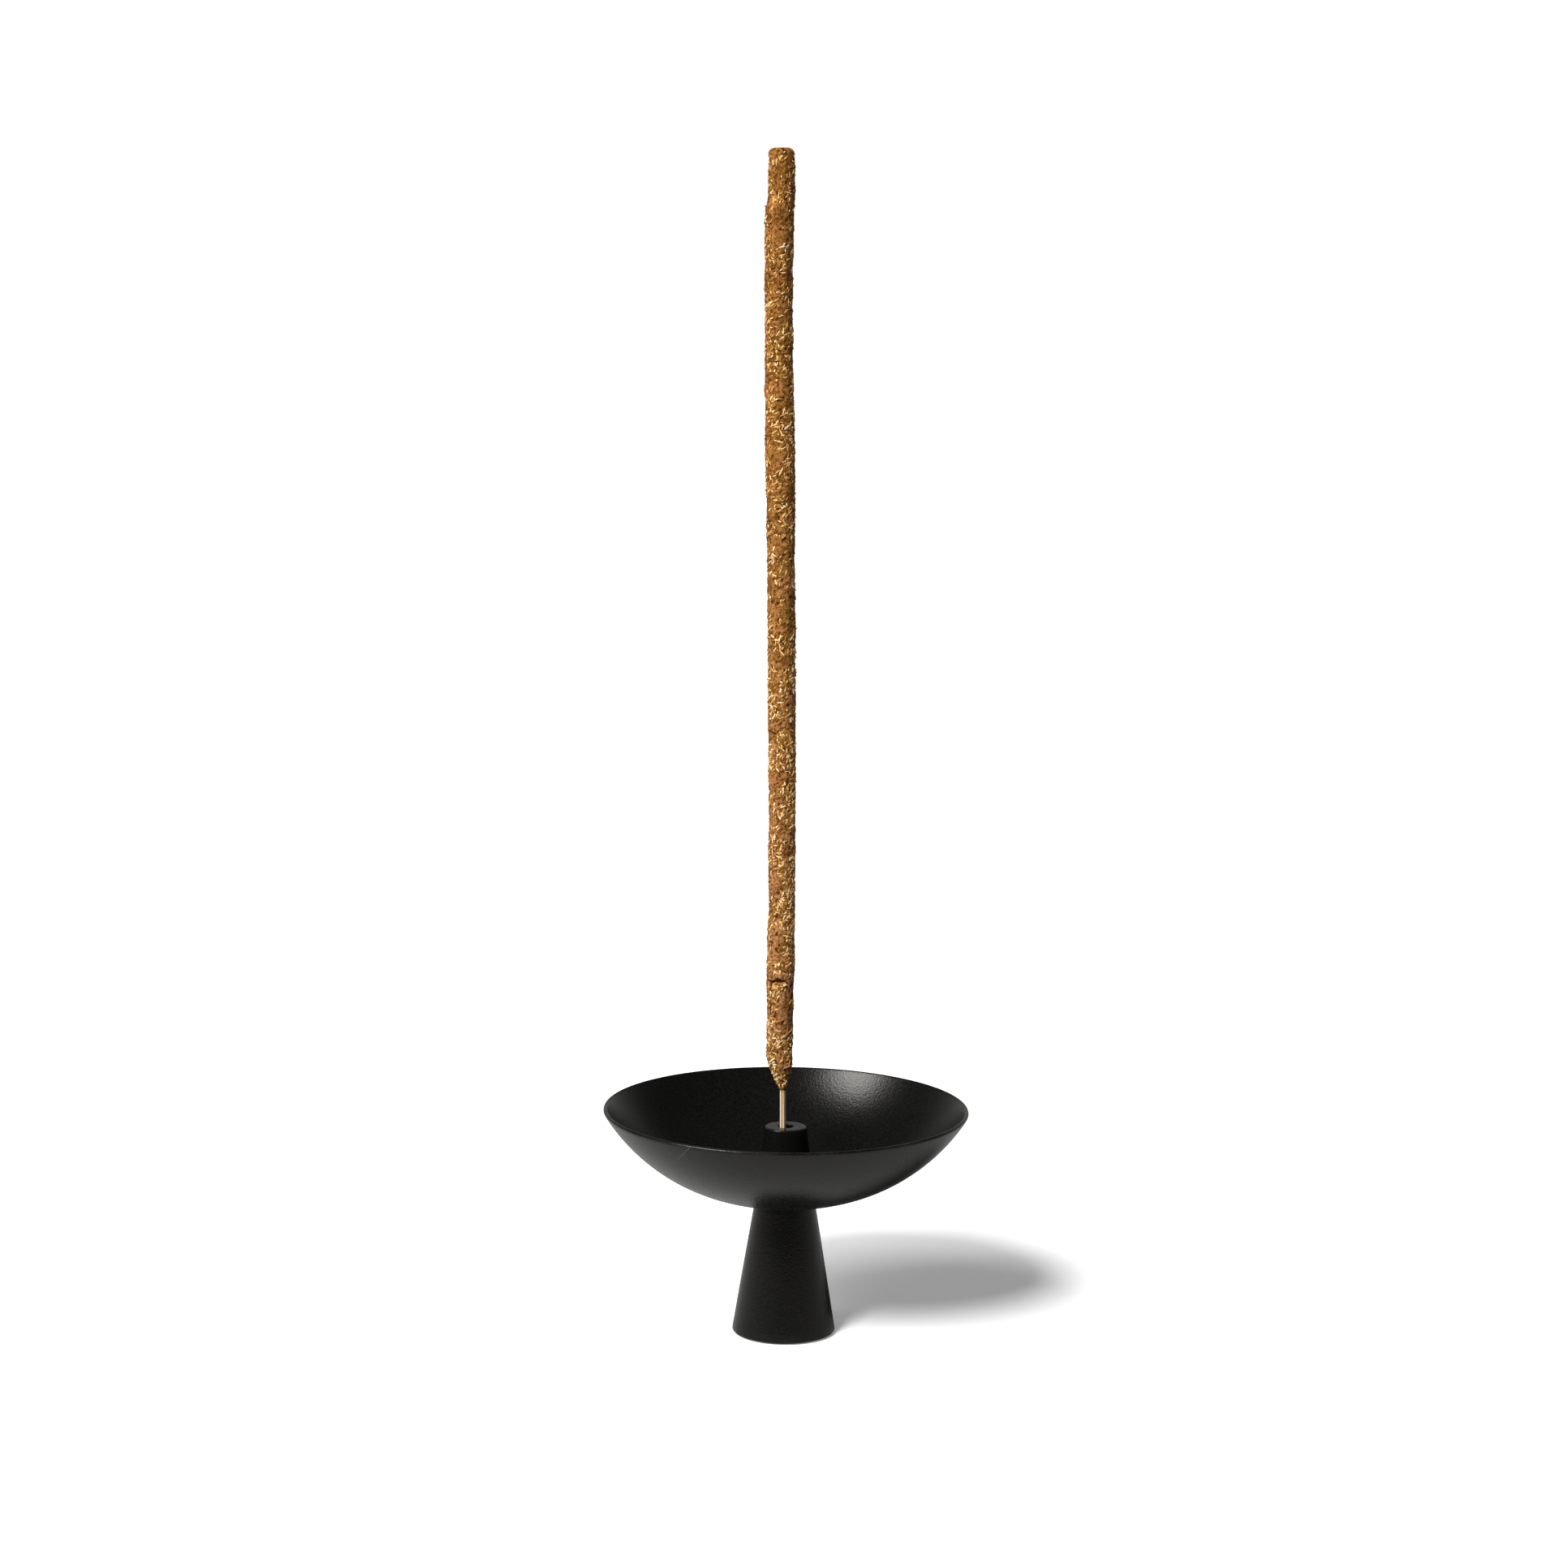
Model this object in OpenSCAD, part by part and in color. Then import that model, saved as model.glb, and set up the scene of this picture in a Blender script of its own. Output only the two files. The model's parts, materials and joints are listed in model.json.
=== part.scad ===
// Incense burner: a shallow dished bowl on a tapered foot, with a turned holder for one stick.
// One screw from below pulls the holder, the bowl and the foot together, and a pad covers it.
// The origin is the centre of the underside, +Z is up, and all sizes are in millimetres.

/* [Overall] */
// Outside diameter of the bowl at its rim
bowl_d = 80; // [68:1:100]
// Height of the rim above the table
rim_z = 50.5; // [44:0.1:64]

/* [Bowl] */
// Thickness of the pressed sheet
wall = 0.9; // [0.6:0.1:2.4]
// Depth of the dish on its outside, from the rim to the lowest point of its curve
bowl_depth = 21.1; // [17:0.1:26]
// Slope of the wall at the rim, from level
rim_angle = 58; // [50:1:68]
// Slope where the shallow curve of the floor passes into the rounder curve of the side
floor_angle = 17; // [13:1:22]
// Width of the flat seat that shows around the foot and the holder
seat_margin = 0.2; // [0.1:0.1:0.8]

/* [Foot] */
// Diameter of the foot at the table
foot_base_d = 22.8; // [19:0.1:30]
// Diameter of the foot where it meets the bowl
foot_top_d = 13.2; // [11:0.1:18]
// Rounding of the foot's bottom edge
foot_edge_r = 0.5; // [0.2:0.1:0.8]
// Depth of the socket for the holder's spigot
socket_depth = 8; // [6:0.5:10]
// Thickness of the web that the screw clamps
web = 5; // [3:0.5:7]

/* [Base pad] */
// Thickness of the pad
pad_t = 1.1; // [0.8:0.1:2]
// How far the pad stands out below the metal
pad_lift = 0.3; // [0.1:0.1:0.6]
// Width of the metal ring around the pad
pad_land = 1.1; // [1:0.1:2]

/* [Stick holder] */
// Height of the holder above the bowl's floor
holder_h = 15.7; // [12:0.1:19]
// Diameter of the holder at the bowl's floor
holder_base_d = 13.2; // [10.6:0.1:18]
// Diameter of the holder's top
holder_top_d = 9.1; // [7:0.1:12]
// Rounding of the holder's top edge
holder_edge_r = 0.3; // [0.1:0.1:0.6]
// Diameter of the mouth of the stick hole
mouth_d = 3.4; // [2.8:0.1:4.4]
// Depth of the mouth of the stick hole
mouth_depth = 4; // [2:0.5:6]
// Diameter of the narrow hole that guides the stick
guide_d = 2.6; // [2.1:0.1:2.8]
// Length of the narrow hole that guides the stick
guide_depth = 9; // [7:0.5:10]
// Diameter of the spigot that passes through the bowl
spigot_d = 8; // [7:0.1:9.6]

/* [Fasteners] */
// Nominal diameter of the clamp screw
screw_d = 4; // [3.4:0.1:4.8]
// Length of the clamp screw under its head
screw_length = 12; // [10:1:14]
// Diameter of the screw's head
screw_head_d = 7; // [6:0.1:8.4]
// Height of the screw's head
screw_head_h = 4; // [3:0.1:5]
// Width across the flats of the hex socket in the head
hex_socket = 3; // [2.5:0.1:3.5]
// Outside diameter of the flat washer
washer_d = 9; // [8.6:0.1:10.8]
// Thickness of the flat washer
washer_t = 0.8; // [0.6:0.1:1]
// Outside diameter of the spring washer
spring_washer_d = 7.4; // [6.4:0.1:8.4]
// Thickness of the spring washer
spring_washer_t = 0.9; // [0.7:0.1:1.2]

/* [Incense stick] */
// Diameter of the bamboo core
core_d = 1.35; // [1.2:0.05:1.6]
// Diameter of the rolled incense paste
paste_d = 5.9; // [5:0.1:7.2]
// Length of the part of the stick that is coated with paste
coated_length = 203.5; // [160:0.5:250]
// Length of bare core below the paste
bare_length = 21.2; // [18:0.1:30]
// Length of the taper at the paste's lower end
taper_length = 7; // [5:0.5:10]
// Lean of the stick in its loose hole, towards -X
stick_lean = 0.75; // [0:0.05:1]

/* [Fits] */
// Clearance around the spigot, on the radius
spigot_fit = 0.1; // [0.05:0.05:0.2]
// Clearance around the washer and around the screw's shank, on the radius
screw_fit = 0.25; // [0.2:0.05:0.4]
// Clearance between the screw's thread and its tapped hole, on the radius
thread_fit = 0.05; // [0.05:0.05:0.1]
// Clearance around the pad, on the radius
pad_fit = 0.1; // [0.05:0.05:0.2]
// Gap between the stick and the hole that it rests in
stick_gap = 0.03; // [0.02:0.01:0.06]

/* [Hidden] */
$fn = 96;
// Length by which a cut runs past the face that it opens
past = 1;
// Number of straight steps around a rounded corner of a turned piece
corner_steps = 6;

// The bowl's wall follows two arcs that meet smoothly on its middle surface: the floor's arc,
// centred on the axis, up to floor_angle, and the side's arc from there to the rim.
lip_r = wall / 2;
lip_x = bowl_d / 2 - lip_r;
lip_z = rim_z - lip_r;
dish_z = rim_z - bowl_depth;
lip_rise = lip_z - dish_z - lip_r;
side_run = sin(rim_angle) - sin(floor_angle);
side_climb = cos(floor_angle) - cos(rim_angle);
floor_climb = 1 - cos(floor_angle);
arc_scale = sin(floor_angle) * side_climb - floor_climb * side_run;
floor_arc_r = (lip_x * side_climb - lip_rise * side_run) / arc_scale;
side_arc_r = (lip_rise * sin(floor_angle) - lip_x * floor_climb) / arc_scale;
floor_centre_z = dish_z + lip_r + floor_arc_r;
side_centre_x = (floor_arc_r - side_arc_r) * sin(floor_angle);
side_centre_z = floor_centre_z - (floor_arc_r - side_arc_r) * cos(floor_angle);
// Distance from the axis at which the two arcs meet
knuckle_x = floor_arc_r * sin(floor_angle);
// Hair's breadth by which the side's arc and the rim's rounding lap over their neighbours
arc_lap = 0.005;
lip_lap = 0.001;

// The dish's centre is pressed flat between the foot and the holder
seat_r = max(foot_top_d, holder_base_d) / 2 + seat_margin;
seat_z = floor_centre_z - sqrt(pow(floor_arc_r + lip_r, 2) - pow(seat_r, 2));
bowl_floor_z = seat_z + wall;
bowl_hole_r = spigot_d / 2 + spigot_fit;

// The stack that the screw clamps, from the socket's bottom down to the screw's head
socket_z = seat_z - socket_depth;
counterbore_z = socket_z - web;
washer_z = counterbore_z - washer_t;
spring_washer_z = washer_z - spring_washer_t;
counterbore_r = washer_d / 2 + screw_fit;
shank_hole_r = screw_d / 2 + screw_fit;
washer_hole_r = screw_d / 2 + screw_fit / 2;

// The pad lies in a shallow recess
recess_r = foot_base_d / 2 - pad_land;
recess_z = pad_t;

// The holder's spigot stops short of the socket's bottom, so the shoulder bears on the bowl
spigot_relief = 0.3;
spigot_z = socket_z + spigot_relief;
// Room left in the tapped hole beyond the screw's tip
tip_room = 1;
thread_depth = screw_length - washer_t - spring_washer_t - web - spigot_relief + tip_room;
holder_top_z = bowl_floor_z + holder_h;
stick_hole_z = holder_top_z - mouth_depth - guide_depth;

// The stick stands on the bottom of its hole and leans on the top edge of the guide
stick_z = stick_hole_z + stick_gap;
stick_x = tan(stick_lean) * guide_depth - (guide_d / 2 - core_d / 2 - stick_gap);
stick_length = bare_length + coated_length;
// Rounding of the coat's top edge, and the paste that covers the core's top end
paste_tip_r = 0.2 * paste_d;
core_cover = 1.5;
// The paste is rolled by hand: each pair is a place along the coat, from 0 to 1, and the
// thickness there as a share of paste_d
paste_rolls = [[0.14, 1.02], [0.22, 0.95], [0.42, 1.0], [0.55, 0.98], [0.68, 1.07],
               [0.88, 0.98], [0.925, 1.04], [0.96, 0.93]];

// An outline whose corners are [x, y, rounding radius]
module rounded_outline(corners) {
    count = len(corners);
    polygon([for (i = [0 : count - 1]) for (point = corner_arc(corners, i, count)) point]);
}

// The outline's points at one corner: the corner itself, or an arc that meets both edges
function corner_arc(corners, i, count) =
    let (
        here = [corners[i][0], corners[i][1]],
        before = corners[(i + count - 1) % count],
        after = corners[(i + 1) % count],
        to_before = unit([before[0], before[1]] - here),
        to_after = unit([after[0], after[1]] - here),
        radius = corners[i][2],
        half = acos(to_before * to_after) / 2,
        middle = unit(to_before + to_after),
        centre = here + middle * radius / sin(half),
        start = here + to_before * radius / tan(half) - centre,
        side = sign(start[1] * middle[0] - start[0] * middle[1]),
        turn = side * (180 - 2 * half)
    )
    radius > 0
        ? [for (k = [0 : corner_steps]) centre + turned(start, turn * k / corner_steps)]
        : [here];

function turned(v, angle) =
    [v[0] * cos(angle) - v[1] * sin(angle), v[0] * sin(angle) + v[1] * cos(angle)];

function unit(v) = v / norm(v);

// The region inside the dish's curve, moved out from the wall's middle by an offset. Beyond
// the knuckle the side's disc bounds it, a hair over size so that the two arcs cross cleanly.
module dish_region(offset) {
    intersection() {
        translate([0, floor_centre_z]) circle(r = floor_arc_r + offset, $fn = 360);
        union() {
            translate([side_centre_x, side_centre_z])
                circle(r = side_arc_r + offset + arc_lap, $fn = 360);
            translate([-bowl_d, 0]) square([bowl_d + knuckle_x, 2 * floor_centre_z]);
        }
    }
}

module bowl() {
    color([0.10, 0.10, 0.10])
        difference() {
            rotate_extrude() {
                intersection() {
                    difference() {
                        dish_region(lip_r);
                        dish_region(-lip_r);
                    }
                    polygon([
                        [0, seat_z],
                        [bowl_d, seat_z],
                        [lip_x + wall * sin(rim_angle), lip_z - wall * cos(rim_angle)],
                        [side_centre_x, side_centre_z],
                        [0, side_centre_z]
                    ]);
                }
                translate([lip_x, lip_z]) circle(r = lip_r + lip_lap, $fn = 48);
                translate([0, seat_z]) square([seat_r, wall]);
            }
            translate([0, 0, seat_z - past]) cylinder(r = bowl_hole_r, h = wall + 2 * past);
        }
}

module foot() {
    color([0.12, 0.12, 0.12])
        difference() {
            rotate_extrude()
                rounded_outline([
                    [0, pad_lift, 0],
                    [foot_base_d / 2, pad_lift, foot_edge_r],
                    [foot_top_d / 2, seat_z, 0],
                    [0, seat_z, 0]
                ]);
            translate([0, 0, socket_z]) cylinder(r = bowl_hole_r, h = socket_depth + past);
            cylinder(r = shank_hole_r, h = seat_z);
            translate([0, 0, -past]) cylinder(r = counterbore_r, h = counterbore_z + past);
            translate([0, 0, -past]) cylinder(r = recess_r, h = recess_z + past);
        }
}

module stick_holder() {
    color([0.08, 0.08, 0.08])
        difference() {
            rotate_extrude()
                rounded_outline([
                    [0, spigot_z, 0],
                    [spigot_d / 2, spigot_z, 0],
                    [spigot_d / 2, bowl_floor_z, 0],
                    [holder_base_d / 2, bowl_floor_z, 0],
                    [holder_top_d / 2, holder_top_z, holder_edge_r],
                    [0, holder_top_z, 0]
                ]);
            translate([0, 0, holder_top_z - mouth_depth]) cylinder(d = mouth_d, h = mouth_depth + past);
            translate([0, 0, stick_hole_z]) cylinder(d = guide_d, h = guide_depth + past);
            translate([0, 0, spigot_z - past])
                cylinder(r = screw_d / 2 + thread_fit, h = thread_depth + past);
        }
}

module clamp_screw() {
    hex_r = hex_socket / 2 / cos(30);
    hex_depth = screw_head_h / 2;
    color([0.62, 0.62, 0.64])
        difference() {
            union() {
                translate([0, 0, spring_washer_z - screw_head_h])
                    rotate_extrude()
                        rounded_outline([
                            [0, 0, 0],
                            [screw_head_d / 2, 0, 0.4],
                            [screw_head_d / 2, screw_head_h, 0],
                            [0, screw_head_h, 0]
                        ]);
                translate([0, 0, spring_washer_z - past]) cylinder(d = screw_d, h = screw_length + past);
            }
            translate([0, 0, spring_washer_z - screw_head_h - past])
                cylinder(r = hex_r, h = hex_depth + past, $fn = 6);
        }
}

module washer(outside_d, thickness, z) {
    translate([0, 0, z])
        difference() {
            cylinder(d = outside_d, h = thickness);
            translate([0, 0, -past]) cylinder(r = washer_hole_r, h = thickness + 2 * past);
        }
}

module spring_washer() {
    split = 0.8;
    split_slant = 20;
    color([0.55, 0.55, 0.57])
        difference() {
            washer(spring_washer_d, spring_washer_t, spring_washer_z);
            translate([spring_washer_d / 2, 0, spring_washer_z + spring_washer_t / 2])
                rotate([split_slant, 0, 0])
                    cube([spring_washer_d, split, 4 * spring_washer_t], center = true);
        }
}

module flat_washer() {
    color([0.66, 0.66, 0.68]) washer(washer_d, washer_t, washer_z);
}

module base_pad() {
    color([0.05, 0.05, 0.05])
        rotate_extrude()
            rounded_outline([
                [0, 0, 0],
                [recess_r - pad_fit, 0, pad_lift / 2],
                [recess_r - pad_fit, pad_t, 0],
                [0, pad_t, 0]
            ]);
}

// Carries a piece of the stick to where the stick stands, leaning in its hole
module at_stick() {
    translate([stick_x, 0, stick_z]) rotate([0, -stick_lean, 0]) children();
}

module bamboo_core() {
    color([0.86, 0.74, 0.58])
        at_stick() cylinder(d = core_d, h = stick_length - core_cover);
}

module incense_paste() {
    color([0.55, 0.38, 0.20])
        at_stick()
            difference() {
                rotate_extrude()
                    rounded_outline(concat(
                        [[0, bare_length, 0], [0.65 * core_d, bare_length, 0]],
                        [[0.47 * paste_d, bare_length + taper_length, 0]],
                        [for (roll = paste_rolls)
                            [roll[1] * paste_d / 2, bare_length + roll[0] * coated_length, 0]],
                        [[0.44 * paste_d, stick_length, paste_tip_r], [0, stick_length, 0]]
                    ));
                cylinder(d = core_d, h = stick_length - core_cover);
            }
}

bowl();
foot();
stick_holder();
clamp_screw();
spring_washer();
flat_washer();
base_pad();
bamboo_core();
incense_paste();
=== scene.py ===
import json
import math
import random

import bmesh
import bpy
import numpy as np
from mathutils import Matrix, Vector, noise


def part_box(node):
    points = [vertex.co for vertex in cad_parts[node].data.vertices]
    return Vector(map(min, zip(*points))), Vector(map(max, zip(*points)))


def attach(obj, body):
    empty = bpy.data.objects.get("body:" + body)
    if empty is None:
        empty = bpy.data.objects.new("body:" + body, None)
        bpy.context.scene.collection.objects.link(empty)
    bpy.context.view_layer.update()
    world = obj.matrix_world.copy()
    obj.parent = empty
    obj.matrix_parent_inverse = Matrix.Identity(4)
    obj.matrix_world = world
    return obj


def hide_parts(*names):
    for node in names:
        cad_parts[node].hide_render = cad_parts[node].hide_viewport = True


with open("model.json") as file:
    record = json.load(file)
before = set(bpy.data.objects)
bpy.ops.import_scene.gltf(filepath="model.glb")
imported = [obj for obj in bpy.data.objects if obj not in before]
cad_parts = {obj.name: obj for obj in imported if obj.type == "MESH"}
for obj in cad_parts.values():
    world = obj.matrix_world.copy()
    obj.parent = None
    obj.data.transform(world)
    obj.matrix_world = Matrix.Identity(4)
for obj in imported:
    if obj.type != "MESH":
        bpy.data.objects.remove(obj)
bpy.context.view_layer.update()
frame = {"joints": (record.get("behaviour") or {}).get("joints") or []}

# ---------------------------------------------------------------------------------------------
# Studio: a white table that runs back out of sight, in a dim room with a pale back wall. A broad
# lamp to the front left throws the soft shadow to the right, and a softbox on the same side makes
# the highlight in the bowl.
# ---------------------------------------------------------------------------------------------
mm = 0.001
scene = bpy.context.scene
scene.view_settings.view_transform = "Standard"
scene.view_settings.look = "None"


def aimed_camera(name, place, down, turn, roll, lens):
    """A camera that looks along +Y, turned to the right, tipped down and then rolled."""
    camera = bpy.data.objects.new(name, bpy.data.cameras.new(name))
    scene.collection.objects.link(camera)
    turned = Matrix.Rotation(-turn, 4, "Z") @ Matrix.Rotation(math.pi / 2 - down, 4, "X")
    camera.matrix_world = Matrix.Translation(place) @ turned @ Matrix.Rotation(roll, 4, "Z")
    camera.data.lens = lens
    camera.data.sensor_width = 36
    camera.data.clip_start = 0.02
    camera.data.clip_end = 40
    return camera


scene.camera = aimed_camera(
    "studio_camera", Vector((0, -838.6, 255.0)) * mm, down=math.radians(8.99),
    turn=math.radians(-0.09), roll=math.radians(0.7), lens=90.16,
)


def node_tree(owner):
    """The node tree of a material or a world, emptied."""
    owner.use_nodes = True
    tree = owner.node_tree
    tree.nodes.clear()
    return tree


def add(tree, kind, label=None, **settings):
    """One node. Settings that name an input set its value, the others set the node itself."""
    node = tree.nodes.new(kind)
    if label:
        node.label = label
    for key, value in settings.items():
        if hasattr(node, key):
            setattr(node, key, value)
        else:
            node.inputs[key.replace("_", " ")].default_value = value
    return node


def join(tree, source, target):
    """A link from an output socket to an input socket."""
    tree.links.new(source, target)


def feed(tree, value, socket):
    """Joins a socket to an input, or sets the input to a plain value."""
    if isinstance(value, bpy.types.NodeSocket):
        join(tree, value, socket)
    else:
        socket.default_value = value


def blended(tree, factor, first, second, way="MIX"):
    """A colour mix whose factor and colours may be sockets or plain values."""
    mix = add(tree, "ShaderNodeMix", data_type="RGBA", blend_type=way)
    for slot, value in ((0, factor), (6, first), (7, second)):
        feed(tree, value, mix.inputs[slot])
    return mix.outputs[2]


def ranged(tree, value, low, high, to_low=0.0, to_high=1.0):
    """The value mapped from low..high to another range, and held inside it."""
    span = add(tree, "ShaderNodeMapRange")
    join(tree, value, span.inputs["Value"])
    for key, number in (("From Min", low), ("From Max", high), ("To Min", to_low), ("To Max", to_high)):
        span.inputs[key].default_value = number
    return span.outputs["Result"]


def shown_to_lens(tree, output, to_lens, to_burner):
    """Ends a tree with one shader for what the lens sees and another for what lights the burner."""
    rays = add(tree, "ShaderNodeLightPath")
    choose = add(tree, "ShaderNodeMixShader")
    out = add(tree, output)
    join(tree, rays.outputs["Is Camera Ray"], choose.inputs["Fac"])
    join(tree, to_burner.outputs[0], choose.inputs[1])
    join(tree, to_lens.outputs[0], choose.inputs[2])
    join(tree, choose.outputs[0], out.inputs["Surface"])


# The room: white to the lens, and dim to the burner, dark overhead and paler at the back wall
room = bpy.data.worlds.new("studio_room")
scene.world = room
tree = node_tree(room)
facing = add(tree, "ShaderNodeTexCoord")
parts = add(tree, "ShaderNodeSeparateXYZ")
join(tree, facing.outputs["Generated"], parts.inputs[0])
front_to_back = ranged(tree, parts.outputs["Y"], -1, 1)
walls = blended(tree, front_to_back, (0.025, 0.025, 0.024, 1), (0.46, 0.46, 0.455, 1))
overhead = ranged(tree, parts.outputs["Z"], 0.08, 0.5)
walls = blended(tree, overhead, walls, (0.035, 0.035, 0.034, 1))
dim = add(tree, "ShaderNodeBackground", "room light", Strength=1.0)
join(tree, walls, dim.inputs["Color"])
white = add(tree, "ShaderNodeBackground", "white backdrop", Color=(1, 1, 1, 1), Strength=1.0)
shown_to_lens(tree, "ShaderNodeOutputWorld", white, dim)

burner_middle = Vector((0, 0, 45)) * mm


def lamp_towards(name, kind, direction, distance, energy, **settings):
    """A lamp that stands off along a direction and shines back at the middle of the burner."""
    lamp = bpy.data.objects.new(name, bpy.data.lights.new(name, kind))
    scene.collection.objects.link(lamp)
    place = Vector(direction).normalized() * distance + burner_middle
    aim = Vector(direction).to_track_quat("Z", "Y").to_matrix().to_4x4()
    lamp.matrix_world = Matrix.Translation(place) @ aim
    lamp.data.energy = energy
    for key, value in settings.items():
        setattr(lamp.data, key, value)
    return lamp


# The key lamp doesn't show in glossy reflections, so only the softbox makes a highlight
key_lamp = lamp_towards("key_lamp", "SUN", (-0.38, -0.66, 0.65), 2.0, 4.1, angle=math.radians(17))
key_lamp.visible_glossy = False
lamp_towards("side_softbox", "AREA", (-0.60, -0.36, 0.72), 0.9, 6.0, shape="SQUARE", size=0.40)

# Half the width of the table, in metres
half = 6.0
table = bpy.data.objects.new("table", bpy.data.meshes.new("table"))
scene.collection.objects.link(table)
table_corners = [(-half, -half, 0), (half, -half, 0), (half, half, 0), (-half, half, 0)]
table.data.from_pydata(table_corners, [], [(0, 1, 2, 3)])
table_white = bpy.data.materials.new("table_white")
tree = node_tree(table_white)
seen = add(tree, "ShaderNodeBsdfDiffuse", "as the lens sees it", Color=(1.0, 1.0, 1.0, 1))
glow = add(tree, "ShaderNodeEmission", "burnt-out white", Color=(1.0, 1.0, 1.0, 1), Strength=0.27)
bright = add(tree, "ShaderNodeAddShader")
join(tree, seen.outputs[0], bright.inputs[0])
join(tree, glow.outputs[0], bright.inputs[1])
lit = add(tree, "ShaderNodeBsdfDiffuse", "as it lights the burner", Color=(0.40, 0.40, 0.395, 1))
shown_to_lens(tree, "ShaderNodeOutputMaterial", bright, lit)
table.data.materials.append(table_white)

# ---------------------------------------------------------------------------------------------
# Foot: a tapered solid turned from steel, socketed on top for the holder's spigot and bored from
# below for the clamp screw. It is powder-coated satin black; the coat rounds every edge a little.
# ---------------------------------------------------------------------------------------------
turning_steps = 192
foot_low, foot_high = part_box("foot")
pad_lift = foot_low.z / mm
seat_z = foot_high.z / mm
foot_base_r = 11.4
foot_top_r = 6.6
foot_edge_r = 0.5
recess_r = 10.3
recess_z = 1.1
socket_r = 4.1
socket_z = seat_z - 8
web = 5
counterbore_r = 4.75
shank_hole_r = 2.25


def rounded(corners, steps=7, longest=2.0):
    """The points of an outline whose corners are (radius, height, rounding), with its long
    straight runs cut into shorter ones. It comes back as [radius, height, wear] rows: wear is 1
    on the rounded outer edges, where handling shows first."""
    rows = []
    count = len(corners)
    for i, (x, y, fillet) in enumerate(corners):
        here = Vector((x, y))
        before = Vector(corners[i - 1][:2]) - here
        after = Vector(corners[(i + 1) % count][:2]) - here
        if fillet <= 0 or before.length < 1e-9 or after.length < 1e-9:
            rows.append([x, y, 0.0])
            continue
        before.normalize()
        after.normalize()
        half_angle = before.angle(after) / 2
        reach = fillet / math.tan(half_angle)
        centre = here + (before + after).normalized() * fillet / math.sin(half_angle)
        start = here + before * reach - centre
        end = here + after * reach - centre
        sweep = start.angle_signed(end)
        for k in range(steps + 1):
            spoke = start.copy()
            spoke.rotate(Matrix.Rotation(-sweep * k / steps, 2))
            rows.append([centre.x + spoke.x, centre.y + spoke.y, math.sin(math.pi * k / steps)])
    return divided(rows, longest)


def divided(rows, longest):
    """Cuts each straight run of an outline into steps no longer than `longest`."""
    out_rows = []
    for row, following in zip(rows, rows[1:] + rows[:1]):
        out_rows.append(row)
        length = math.dist(row[:2], following[:2])
        on_axis = row[0] < 1e-6 and following[0] < 1e-6
        pieces = 1 if on_axis else max(1, math.ceil(length / longest))
        for k in range(1, pieces):
            share = k / pieces
            out_rows.append([a + (b - a) * share for a, b in zip(row[:2], following[:2])] + [0.0])
    return out_rows


def turned_piece(name, rows, steps=turning_steps, shape=None):
    """A lathe-turned piece: a closed outline of [radius, height, wear] rows in millimetres goes
    once round the axis. shape(radius, height, angle) may move a point, as for a hex or a thread."""
    points = []
    wear = []
    rings = []
    for radius, height, worn in rows:
        around = 1 if radius < 1e-6 else steps
        ring = []
        for k in range(around):
            angle = 2 * math.pi * k / steps
            r, z = shape(radius, height, angle) if shape and around > 1 else (radius, height)
            ring.append(len(points))
            points.append((r * math.cos(angle) * mm, r * math.sin(angle) * mm, z * mm))
            wear.append(worn)
        rings.append(ring)
    faces = []
    for low, high in zip(rings, rings[1:] + rings[:1]):
        if len(low) == 1 and len(high) == 1:
            continue
        for k in range(steps):
            n = (k + 1) % steps
            if len(low) == 1:
                faces.append((low[0], high[n], high[k]))
            elif len(high) == 1:
                faces.append((low[k], low[n], high[0]))
            else:
                faces.append((low[k], low[n], high[n], high[k]))
    return finished_mesh(name, points, faces, {"wear": wear})


def finished_mesh(name, points, faces, shades=None):
    """A smooth-shaded mesh object with its named per-point values, faces turned outwards."""
    mesh = bpy.data.meshes.new(name)
    mesh.from_pydata(points, [], faces)
    work = bmesh.new()
    work.from_mesh(mesh)
    bmesh.ops.recalc_face_normals(work, faces=work.faces)
    work.to_mesh(mesh)
    work.free()
    mesh.shade_smooth()
    for key, values in (shades or {}).items():
        layer = mesh.attributes.new(key, "FLOAT", "POINT")
        layer.data.foreach_set("value", np.array(values, np.float32))
    piece = bpy.data.objects.new(name, mesh)
    scene.collection.objects.link(piece)
    return piece


def effect_group(name, inputs, outputs):
    """An empty shader node group with named inputs (name: default) and outputs (name: type)."""
    group = bpy.data.node_groups.new(name, "ShaderNodeTree")
    for key, default in inputs.items():
        kind = "NodeSocketColor" if isinstance(default, tuple) else "NodeSocketFloat"
        kind = "NodeSocketVector" if default is None else kind
        socket = group.interface.new_socket(name=key, in_out="INPUT", socket_type=kind)
        if default is not None:
            socket.default_value = default
    for key, kind in outputs.items():
        group.interface.new_socket(name=key, in_out="OUTPUT", socket_type=kind)
    return group, group.nodes.new("NodeGroupInput"), group.nodes.new("NodeGroupOutput")


def computed(tree, operation, first, second):
    """One arithmetic step between sockets or plain numbers."""
    step = add(tree, "ShaderNodeMath", operation=operation)
    feed(tree, first, step.inputs[0])
    feed(tree, second, step.inputs[1])
    return step.outputs[0]


def pattern(tree, kind, position, label=None, **settings):
    """A noise or cell pattern laid over a position."""
    node = add(tree, "ShaderNodeTex" + kind, label, **settings)
    join(tree, position, node.inputs["Vector"])
    return node


def placed(tree, group, position, **settings):
    """A shader group laid over a position, with its own settings."""
    node = add(tree, "ShaderNodeGroup", node_tree=group, **settings)
    join(tree, position, node.inputs["Position"])
    return node


def new_material(name):
    """A material with an empty tree, and the socket that gives each point's place."""
    material = bpy.data.materials.new(name)
    tree = node_tree(material)
    return material, tree, add(tree, "ShaderNodeTexCoord").outputs["Object"]


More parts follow.
